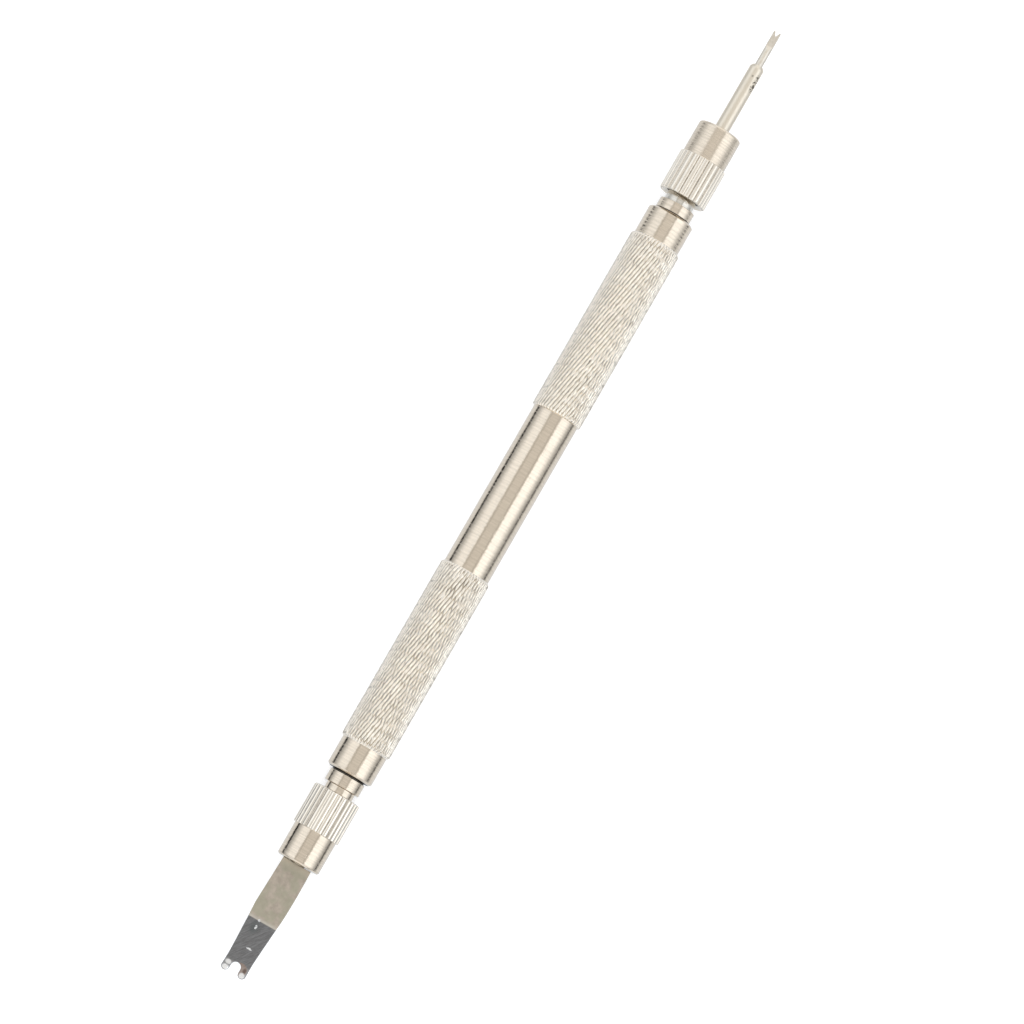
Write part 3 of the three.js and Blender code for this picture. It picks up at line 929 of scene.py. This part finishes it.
def groove_group():
    """The groove output is 1 at a groove's Low radius and 0 at its High one, broken up by noise; it stands
    for grime and painted shade together. The bore output, painted shade, is 1 below the radius Inner, as
    long as Along is short of the Nose. Toward is +1 or -1, the nose's direction."""
    inputs = [("Radius", "float", 0.0), ("Low", "float", 1.0), ("High", "float", 2.0),
              ("Inner", "float", 0.0), ("Along", "float", 0.0), ("Nose", "float", 0.0),
              ("Toward", "float", 1.0), ("Position", "vector", (0, 0, 0))]
    tree, n, given, out = new_group("groove_grime_and_shade", inputs, [("GrimeAndShade", "float"), ("Inside", "float")])
    depth = n.ramp(given["Radius"], given["Low"], given["High"], 1.0, 0.0)
    above = n.math("GREATER_THAN", given["Radius"], n.minus(given["Low"], 0.06))
    patchy = n.ramp(n.noise(given["Position"], 1.4, 3.0), 0.25, 0.7, 0.3, 1.0)
    n.put(out["GrimeAndShade"], n.times(depth, above, patchy))
    # Painted shade in bores: 1 below the radius Inner, stopping short of the open nose.
    inside = n.ramp(given["Radius"], n.minus(given["Inner"], 0.12), given["Inner"], 1.0, 0.0)
    to_nose = n.times(n.minus(given["Nose"], given["Along"]), given["Toward"])
    n.put(out["Inside"], n.times(inside, n.math("GREATER_THAN", to_nose, NOSE_SKIN)))
    return tree


GROUPS["groove"] = groove_group()
print("node groups:", sorted(tree.name for tree in GROUPS.values()))

# %% [markdown]
# ## Metals
#
# Every finish is a metal, so its colour is the colour of its reflection. Each starts in the same way:
# a metallic shader with the shared groups at hand. A finish then mixes its own colour, roughness and
# height from them, and all three go to the shader's own sockets.

# %% Metal builder
class Metal:
    """A Principled metal with the shared groups wired in; a finish then adds its own mixes."""

    def __init__(self, name):
        self.material = bpy.data.materials.new(name)
        self.material.use_nodes = True
        self.n = Nodes(self.material.node_tree)
        self.shader = self.material.node_tree.nodes["Principled BSDF"]
        self.shader.inputs["Metallic"].default_value = 1.0
        self.place = self.group("place")

    def group(self, key, **inputs):
        return self.n.add("ShaderNodeGroup", {"node_tree": GROUPS[key]}, **inputs).outputs

    def rings(self, pitch, seed):
        return self.group("rings", Unrolled=self.place["Unrolled"], Pitch=pitch, Seed=seed)

    def handling(self, seed):
        return self.group("handling", Unrolled=self.place["Unrolled"], Seed=seed)

    def grime_and_shade(self, low, high, inner, nose, toward):
        """Low and high radius of the grooves, which get grime and painted shade, the radius below which the
        metal gets painted shade, and the x where a bore ends in an open face, pointing toward +1 or -1."""
        where = {key: self.place[key] for key in ("Radius", "Along", "Position")}
        return self.group("groove", Low=low, High=high, Inner=inner, Nose=nose, Toward=toward, **where)

    def spots(self, *places, soft=0.15):
        """1 inside any of the ellipsoids, given as (centre, half-axes) in millimetres, fading out over
        'soft' of their size: the distance from each centre is measured in half-axes."""
        shares = []
        for centre, size in places:
            offset = self.n.vector("DIVIDE", self.n.vector("SUBTRACT", self.place["Position"], centre), size)
            distance = self.n.vector("LENGTH", offset, output="Value")
            shares.append(self.n.ramp(distance, 1.0 - soft, 1.0 + soft, 1.0, 0.0))
        return self.n.most(*shares)

    def finish(self, color, roughness, height, bump):
        """Feeds the surface: colour, roughness and a bump whose distance is in millimetres."""
        self.n.put(self.shader.inputs["Base Color"], color)
        self.n.put(self.shader.inputs["Roughness"], roughness)
        node = self.n.add("ShaderNodeBump", Strength=1.0, Distance=bump * MM, Height=height)
        self.n.put(self.shader.inputs["Normal"], node.outputs[0])
        return self.material


NICKEL = (0.84, 0.725, 0.58, 1)
TARNISH = (0.56, 0.48, 0.38, 1)
# Grime and painted shade together, for the bottoms of grooves.
GRIME_AND_SHADE = (0.14, 0.132, 0.124, 1)
# Paler plate: worn crests of the flutes, and on the knurl also a painted highlight.
PALE_WEAR_AND_HIGHLIGHT = (0.96, 0.875, 0.75, 1)
COLD = (0.78, 0.735, 0.65, 1)
# Painted shade: the near-black of bores, end faces, thread roots and undercuts.
PAINTED_SHADE = (0.03, 0.026, 0.022, 1)
FAR = 1000.0
print("plate colour:", NICKEL[:3])

# %% [markdown]
# ## Nickel plate
#
# Thin nickel over brass is a warm silver and almost a mirror. Real plate is never even: rings are
# duller, fingers dull it further, the crests of the flutes are rubbed paler, the knurl is paler all over
# for wear and as a painted highlight, and the grooves are darker with grime and painted shade. The same
# recipe serves the bar, the grips, the nuts and the spigots. Only its numbers change, and a piece that
# needs painted shade in a bore, on an end face or in an undercut asks for it by place.

# %% Nickel plate
RING_PITCH = 0.3
PLATE_BUMP = 0.035
SHADOW_STRENGTH = 0.87


def window_share(n, along, window, inside_value):
    """inside_value within window = (distance from the bar's middle, half length), on both sides, else 0."""
    from_middle = n.size(n.minus(along, (bar_start + bar_end) / 2))
    from_window = n.size(n.minus(from_middle, window[0]))
    return n.ramp(from_window, window[1] - 0.1, window[1], inside_value, 0.0)


def between(n, along, limits):
    """1 between two x values, else 0."""
    node = n.add("ShaderNodeMath", {"operation": "COMPARE"}, i0=along, i1=sum(limits) / 2,
                 i2=abs(limits[0] - limits[1]) / 2)
    return node.outputs[0]


def nickel_plate(name, seed, masks, color=NICKEL, ring_tone=0.3, polish=0.08, grime_and_shade_level=0.5, pale_from=FAR,
                 cold_below=0.0, shadow=(FAR, FAR), flank_shade=0.0, window=(0.0, FAR)):
    """Warm bright plate with rings, chatter, blotches, grime and painted shade in grooves, and painted shade
    in bores and on end faces. 'masks' goes to the groove group, whose grooves are darkened a little higher
    on the tool's flanks, as painted shade, and only within 'window'. Beyond the radius pale_from the plate
    is paler and duller, below cold_below it is a colder silver, and between the two x values of 'shadow'
    it is dark with painted shade."""
    metal = Metal(name)
    n, radius, along = metal.n, metal.place["Radius"], metal.place["Along"]
    rings, marks = metal.rings(RING_PITCH, seed), metal.handling(seed)
    worn = n.ramp(radius, pale_from - 0.1, pale_from)
    plain = n.minus(1.0, worn)
    # Painted shade: on the tool's flanks the grooves are darkened higher up, as grooves seen from the side
    # look.
    flank = n.ramp(n.size(n.split(metal.place["Position"])[1]), 1.3, 2.7)
    grime_and_shade = metal.grime_and_shade(masks[0], n.plus(masks[1], n.times(flank, flank_shade)), *masks[2:])
    # Painted shade: bores, end faces and undercuts are darkened where little light reaches them.
    shade_mask = n.most(grime_and_shade["Inside"], n.times(between(n, along, shadow), SHADOW_STRENGTH))
    cold = n.ramp(radius, cold_below, cold_below + 0.05, 1.0, 0.0)
    # The groove layer is grime and painted shade together; the last layer is painted shade.
    tone = n.layered(color, (worn, 1.0, PALE_WEAR_AND_HIGHLIGHT), (cold, 1.0, COLD),
                     (n.times(rings["Ring"], ring_tone), plain, TARNISH), (marks["Blotch"], 0.12, TARNISH),
                     (grime_and_shade["GrimeAndShade"], window_share(n, along, window, grime_and_shade_level), GRIME_AND_SHADE), (shade_mask, 1.0, PAINTED_SHADE))
    rough = n.plus(n.times(marks["Blotch"], 0.05), polish, n.times(rings["Ring"], 0.08), n.times(worn, 0.04))
    rough = n.plus(rough, n.times(n.plus(grime_and_shade["GrimeAndShade"], shade_mask), 0.2))
    height = n.minus(n.times(rings["Chatter"], plain), n.times(marks["Scratch"], 0.1))
    return metal.finish(tone, rough, height, PLATE_BUMP)


def nut_plate(name, seed, node, mouth, polish):
    """Pale flutes with a little grime and painted shade, and painted shade in the bore, which starts inside
    the bright countersink.
    """
    masks = (FLUTED_RADIUS - FLUTE_DEPTH, FLUTED_RADIUS - 0.08, 2.45,
             outward(node, mouth + NUT_LENGTH), end_side(node))
    return nickel_plate(name, seed, masks, polish=polish, grime_and_shade_level=0.7, pale_from=SMOOTH_RADIUS + 0.1,
                        cold_below=MOUTH_RADIUS - 0.1)


def spigot_plate(name, seed, node, undercut, cold_below):
    """Painted shade in the bore, the thread's roots and the undercut."""
    shadow = (outward(node, 0.0), outward(node, undercut + 0.02))
    masks = (0.0, 0.01, NECK_RADIUS - 0.06, FAR, 1)
    return nickel_plate(name, seed, masks, cold_below=cold_below, shadow=shadow)


GROOVE_LOW = GRIP_RADIUS - KNURL_DEPTH
GRIP_MIDDLE = (bar_end - bar_start) / 2 - END_COLLAR - GRIP_LENGTH / 2
# The bar's bores and end faces, below its chamfer, get painted shade where the collars and spigots meet them.
plain_plate = nickel_plate("nickel_turned", 2.0, (0.0, 0.01, BAR_RADIUS - BAR_CHAMFER, FAR, 1),
                           ring_tone=0.22, cold_below=BAR_RADIUS - 0.25)
# The knurl's whole colour is paler: partly wear, partly a painted highlight for its many small bright facets.
knurl_plate = nickel_plate("nickel_knurled", 5.0, (GROOVE_LOW, GROOVE_LOW + 0.13, 1.0, FAR, 1), PALE_WEAR_AND_HIGHLIGHT,
                           ring_tone=0.0, grime_and_shade_level=0.85, flank_shade=0.035,
                           window=(GRIP_MIDDLE, GRIP_LENGTH / 2 - 0.3))
for piece, finish in (
        (bar, plain_plate), (blade_grip, knurl_plate), (pin_grip, knurl_plate),
        (blade_chuck_nut, nut_plate("nickel_blade_nut", 9.0, "blade_nut", BLADE_NUT_MOUTH, 0.07)),
        (pin_chuck_nut, nut_plate("nickel_pin_nut", 10.0, "pin_nut", PIN_NUT_MOUTH, 0.17)),
        (blade_spigot, spigot_plate("nickel_blade_spigot", 14.0, "blade_stub", BLADE_UNDERCUT, 0.0)),
        (pin_spigot, spigot_plate("nickel_pin_spigot", 15.0, "pin_stub", PIN_UNDERCUT, NECK_RADIUS + 0.1))):
    piece.data.materials.append(finish)
print("plated pieces:", sum(1 for material in bpy.data.materials if material.name.startswith("nickel")))

# %% [markdown]
# ## The wide fork's metal
#
# The blade has three skins. Its plate is dull and mottled where it was hammered, its end is bare grey
# steel with slanting grinding lines, and the prongs are burnished from use, with a little rust in the
# notch. Vertex colours would need far more points than the shape does. So every skin is a node layer
# laid over the last one, and each mark sits in an ellipsoid at its own place on the blade.

# %% Wide fork finish
PLATE_BROWN = (0.46, 0.395, 0.32, 1)
PLATE_TAN = (0.585, 0.505, 0.415, 1)
PLATE_GREEN = (0.44, 0.43, 0.31, 1)
WORN_EDGE = (0.74, 0.7, 0.62, 1)
# Painted light: a lighter plate tone next to the nut, against the shade the nut casts.
NUT_SIDE_LIGHT = (0.8, 0.7, 0.56, 1)
GROUND_DARK = (0.17, 0.165, 0.16, 1)
GROUND_LIGHT = (0.27, 0.265, 0.26, 1)
STAIN = (0.1, 0.115, 0.11, 1)
BURNISHED = (0.5, 0.48, 0.46, 1)
RUST = (0.42, 0.29, 0.22, 1)
DARK_BROWN = (0.12, 0.08, 0.06, 1)
# Painted highlight: near-white for the spots where the rounded prong tips catch the light.
TIP_HIGHLIGHT = (1.0, 0.99, 0.97, 1)
NICK_BRIGHT = (0.95, 0.95, 0.93, 1)
GRIT_ANGLE = -0.9
BLADE_BUMP = 0.014
root = outward("fork_blade", blade_shoulder)
border = outward("fork_blade", blade_shoulder + GROUND_FROM)
tip = outward("fork_blade", blade_shoulder + blade_length)


def plated_tone(metal, mottle):
    """Mottled plate with a green cast in places, worn bright beside the grinding, and painted lighter next to
    and inside the nut against the nut's shade.
    """
    n, along = metal.n, metal.place["Along"]
    green = n.ramp(n.noise(metal.place["Position"], 0.7, 2.0), 0.4, 0.6)
    # Painted light: lighter over the last 1.3 mm before the nut and inside it.
    worn, lit_by_nut = n.ramp(along, border + 0.55, border + 0.1), n.ramp(along, root - 1.3, root, 0.0, 0.5)
    return n.layered(n.mix(n.ramp(mottle, 0.3, 0.7), PLATE_BROWN, PLATE_TAN), (green, 0.5, PLATE_GREEN),
                     (worn, 0.45, WORN_EDGE), (lit_by_nut, 1.0, NUT_SIDE_LIGHT))


def bare_tone(metal, grit, burnish, tip_highlights):
    """Ground steel with a stain by the plate, burnished prongs, rust in the notch, a dark brown spot and
    painted highlights on the prong tips.
    """
    n = metal.n
    stain = metal.spots(((border - 0.95, 0.75, 0.4), (0.85, 0.6, 0.6)), soft=0.5)
    rust = metal.spots(((tip + NOTCH_DEPTH - NOTCH_WIDTH / 2, -0.35, 0), (0.85, 0.95, 2)), soft=0.1)
    # A dark brown spot on one prong.
    pitch = metal.spots(((border - 6.45, -1.0, 0), (0.35, 0.24, 1)), soft=0.5)
    return n.layered(n.mix(n.ramp(grit, 0.3, 0.7), GROUND_DARK, GROUND_LIGHT), (stain, 0.5, STAIN),
                     (burnish, 0.55, BURNISHED), (rust, 0.55, RUST), (pitch, 0.7, DARK_BROWN),
                     (tip_highlights, 1.0, TIP_HIGHLIGHT))


def dull_blade():
    """Plate up to the grinding and bare steel beyond it, with three bright nicks, and polished spots on the
    prong tips that carry painted highlights.
    """
    metal = Metal("blade_plate_and_ground")
    n, along, position = metal.n, metal.place["Along"], metal.place["Position"]
    ground = n.ramp(along, border + 0.07, border - 0.07)
    burnish = n.ramp(along, tip + 1.75, tip + 1.35)
    mottle = n.noise(position, 1.6, 5.0, 0.65)
    grit = n.noise(n.vector("MULTIPLY", n.turned(position, GRIT_ANGLE), (9.0, 0.9, 1.0)), 1.0, 4.0, 0.7)
    nicks = metal.spots(((border - 0.9, 0.56, 0.4), (0.3, 0.15, 0.3)),
                        ((border - 3.7, -0.1, 0.35), (0.12, 0.42, 0.3)),
                        ((border + 0.05, 0.6, 0.4), (0.16, 0.16, 0.3)))
    nicks = n.times(nicks, n.ramp(n.noise(position, 5.0, 2.0), 0.35, 0.5))
    # Painted highlights on the prong tips, which are also a little less rough there.
    tip_highlights = metal.spots(((border - 7.1, 1.45, 0), (0.33, 0.42, 1)),
                           ((border - 6.35, 1.42, 0), (0.3, 0.38, 1)),
                           ((border - 7.12, -0.95, 0), (0.36, 0.36, 1)), soft=0.3)
    tone = n.mix(ground, plated_tone(metal, mottle), bare_tone(metal, grit, burnish, tip_highlights))
    tone = n.mix(nicks, tone, NICK_BRIGHT)
    shine = n.times(n.most(nicks, tip_highlights), 0.3)
    rough = n.minus(n.ramp(mottle, 0.3, 0.7, 0.48, 0.58), shine)
    lines = n.times(grit, n.times(ground, n.minus(1.0, burnish)))
    height = n.minus(n.plus(lines, n.times(mottle, 0.6)), n.times(nicks, 2.0))
    return metal.finish(tone, rough, height, BLADE_BUMP)


blade_metal = dull_blade()
for piece in (wide_fork, wide_fork_tang):
    piece.data.materials.append(blade_metal)
print("blade finish nodes:", len(blade_metal.node_tree.nodes))

# %% [markdown]
# ## The fine fork's metals
#
# The shank is plated like the bar, but duller, and its plate has flaked off on one side where the pin
# was staked. The pin itself is bare ground steel, and so are the two collets inside the chucks, which
# keep their CAD shape. One steel recipe serves both, because only tone and polish differ.

# %% Fine fork finishes
SHANK_PLATE = (0.86, 0.77, 0.63, 1)
FLAKED = (0.13, 0.11, 0.08, 1)
PIN_DARK, PIN_LIGHT = (0.74, 0.67, 0.56, 1), (0.88, 0.81, 0.7, 1)
COLLET_DARK, COLLET_LIGHT = (0.3, 0.3, 0.3, 1), (0.45, 0.45, 0.44, 1)
STEEL_PITCH = 0.1
SHANK_BUMP, STEEL_BUMP = 0.012, 0.006


def shank_metal():
    """Plated rod: warm nickel, with dark chips on one side near the staked end."""
    metal = Metal("shank_plate")
    n = metal.n
    rings, marks = metal.rings(RING_PITCH, 31.0), metal.handling(33.0)
    end = pin_face_x + SHANK_END
    area = metal.spots(((end - 2.5, -0.72, 0.62), (1.25, 0.42, 0.4)), soft=0.25)
    pit = metal.spots(((end - 1.65, 0.0, 0.97), (0.16, 0.13, 0.2)), soft=0.3)
    flakes = n.ramp(n.noise(metal.place["Position"], 4.2, 4.0, 0.6), 0.5, 0.54)
    chip = n.most(n.times(area, flakes), n.times(pit, 0.5))
    tone = n.layered(SHANK_PLATE, (marks["Blotch"], 0.12, TARNISH), (chip, 1.0, FLAKED))
    rough = n.plus(n.times(chip, 0.2), n.times(rings["Ring"], 0.08), 0.34)
    return metal.finish(tone, rough, n.minus(n.times(rings["Chatter"], 0.5), chip), SHANK_BUMP)


def bright_steel(name, color_low, color_high, roughness):
    """Ground or machined steel: fine lines across it and a patchy tone."""
    metal = Metal(name)
    n = metal.n
    rings, marks = metal.rings(STEEL_PITCH, 41.0), metal.handling(43.0)
    tone = n.ramp(n.noise(metal.place["Position"], 3.0, 4.0, 0.6), 0.3, 0.7)
    rough = n.plus(n.times(marks["Blotch"], 0.12), roughness)
    return metal.finish(n.mix(tone, color_low, color_high), rough, rings["Chatter"], STEEL_BUMP)


fine_fork_shank.data.materials.append(shank_metal())
fine_fork_pin.data.materials.append(bright_steel("ground_steel", PIN_DARK, PIN_LIGHT, 0.28))
collet_metal = bright_steel("collet_steel", COLLET_DARK, COLLET_LIGHT, 0.3)
for node in ("blade_collet", "pin_collet"):
    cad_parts[node].data.materials.clear()
    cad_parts[node].data.materials.append(collet_metal)
print("materials:", len(bpy.data.materials))

# %% [markdown]
# ## The light
#
# Polished metal shows the room more than itself, so the room is the light: a white tent, open and
# greyer straight above, where the camera is, and darker along the horizon on both sides, which
# draws the two thin dark lines along every round piece. Lamps and cards could build it, but each line
# would then need its own card. Here it is worked out from a ray's direction alone.

# %% Light tent
scene = bpy.context.scene
scene.view_settings.view_transform = "Standard"
FLOOR_WHITE = (0.93, 0.93, 0.93, 1)
TENT_WHITE, TENT_COOL = (1, 1, 1, 1), (1.0, 1.05, 1.12, 1)
OPENING, OPENING_HALF = 0.725, 28
FADE_FROM, FADE_TO, FADED = 56, 98, 0.42
FLOOR_FROM, FLOOR_LEVEL = 110, 0.8
LEFT_SIDE = {"sheet": 1.09, "drop": 0.1, "line_at": 105, "line_half": 7, "gap": 0.0, "closed": 0.76}
RIGHT_SIDE = {"sheet": 1.36, "drop": 0.16, "line_at": 101.5, "line_half": 5.5, "gap": 0.14, "closed": 0.74}


def tent_side(n, angle, x, even, sheet, drop, line_at, line_half, gap, closed):
    """One side's brightness against the angle in degrees from straight up: the opening with its darker
    rim, the lit sheet, its fade towards the bottom, the dark line at the horizon and the floor. 'even'
    rises to 1 at the fine fork's end, where the sheet drops a little and the line goes from gap to
    closed."""
    opening, faded = n.plus(OPENING, n.times(even, 0.06)), n.plus(FADED, n.times(even, 0.2))
    lit = n.minus(sheet, n.times(even, drop))
    level = n.ramp(angle, OPENING_HALF - 3, OPENING_HALF + 5, opening, lit)
    rim = n.times(n.ramp(angle, 17, 22), n.ramp(angle, OPENING_HALF + 2, OPENING_HALF - 4))
    level = n.times(level, n.minus(1.0, n.times(rim, 0.25)))
    level = n.blend(n.ramp(angle, FADE_FROM, FADE_TO), level, faded)
    level = n.blend(n.ramp(angle, FLOOR_FROM - 4, FLOOR_FROM + 8), level, FLOOR_LEVEL)
    line = n.ramp(n.size(n.minus(angle, line_at)), line_half * 0.5, line_half * 1.4, 1.0, 0.0)
    return n.blend(line, level, n.ramp(x, 0.085, 0.19, gap, closed))


def tent_world():
    """Left and right sides by the sign of y, and end walls, white above and greyer towards the horizon,
    where a ray runs along the tool."""
    world = bpy.data.worlds.new("light_tent")
    world.use_nodes = True
    n = Nodes(world.node_tree)
    x, y, z = n.split(n.add("ShaderNodeTexCoord").outputs["Generated"])
    angle = n.math("DEGREES", n.math("ARCTAN2", n.size(y), z))
    even = n.ramp(x, 0.11, 0.17)
    left = tent_side(n, angle, x, even, **LEFT_SIDE)
    right = tent_side(n, angle, x, even, **RIGHT_SIDE)
    level = n.blend(n.math("GREATER_THAN", y, 0.0), right, left)
    end_wall = n.most(n.ramp(z, 0.0, 0.8, 0.5, 1.15), n.ramp(z, -0.3, -0.1, FLOOR_LEVEL, 0.0),
                      n.ramp(n.size(x), 0.8, 0.92, 0.0, 1.05))
    light = n.blend(n.ramp(n.size(x), 0.35, 0.6), level, end_wall)
    tint = n.mix(n.ramp(angle, OPENING_HALF - 3, OPENING_HALF + 5), TENT_WHITE, TENT_COOL)
    grey = n.add("ShaderNodeCombineColor", Red=light, Green=light, Blue=light).outputs[0]
    seen = n.add("ShaderNodeLightPath").outputs["Is Camera Ray"]
    room = n.mix(seen, n.mix(1.0, grey, tint, "MULTIPLY"), FLOOR_WHITE)
    n.put(world.node_tree.nodes["Background"].inputs["Color"], room)
    scene.world = world


tent_world()
print("tent nodes:", len(scene.world.node_tree.nodes))

# %% [markdown]
# ## Floor and lamp
#
# The tool lies on plain white paper. A floor in the reflections would fight with the tent, whose lower
# half already stands for it, so metal doesn't mirror this one. One lamp far wider than the tool gives
# the paper its light, and it isn't mirrored either, or it would put a hard square on every crest.

# %% Floor and lamp
FLOOR_HALF = 3.0
PAPER_ROUGH, PAPER_GLOW = 0.9, 0.25
LAMP_SIDE, LAMP_HEIGHT, LAMP_WATTS = 0.9, 0.9, 4.0


def make_floor():
    """A plain square under the tool. Metal mirrors the tent's own lower half instead of it."""
    signs = np.array([(-1, -1, 0), (1, -1, 0), (1, 1, 0), (-1, 1, 0)])
    mesh = bpy.data.meshes.new("floor")
    mesh.from_pydata(signs * FLOOR_HALF, [], [(0, 1, 2, 3)])
    floor = bpy.data.objects.new("floor", mesh)
    scene.collection.objects.link(floor)
    paper = bpy.data.materials.new("floor_paper")
    paper.use_nodes = True
    inputs = paper.node_tree.nodes["Principled BSDF"].inputs
    for title, value in (("Base Color", FLOOR_WHITE), ("Roughness", PAPER_ROUGH),
                         ("Emission Color", TENT_WHITE), ("Emission Strength", PAPER_GLOW)):
        inputs[title].default_value = value
    mesh.materials.append(paper)
    floor.visible_glossy = False
    floor.visible_shadow = False


def make_lamp():
    """A square lamp straight above, far wider than the tool, for the floor and the soft shadow."""
    data = bpy.data.lights.new("overhead", "AREA")
    data.shape = "SQUARE"
    data.size = LAMP_SIDE
    data.energy = LAMP_WATTS
    lamp = bpy.data.objects.new("overhead", data)
    lamp.location = (0, 0, LAMP_HEIGHT)
    lamp.visible_glossy = False
    scene.collection.objects.link(lamp)


make_floor()
make_lamp()
print("floor, m:", 2 * FLOOR_HALF, "lamp, m:", LAMP_SIDE)
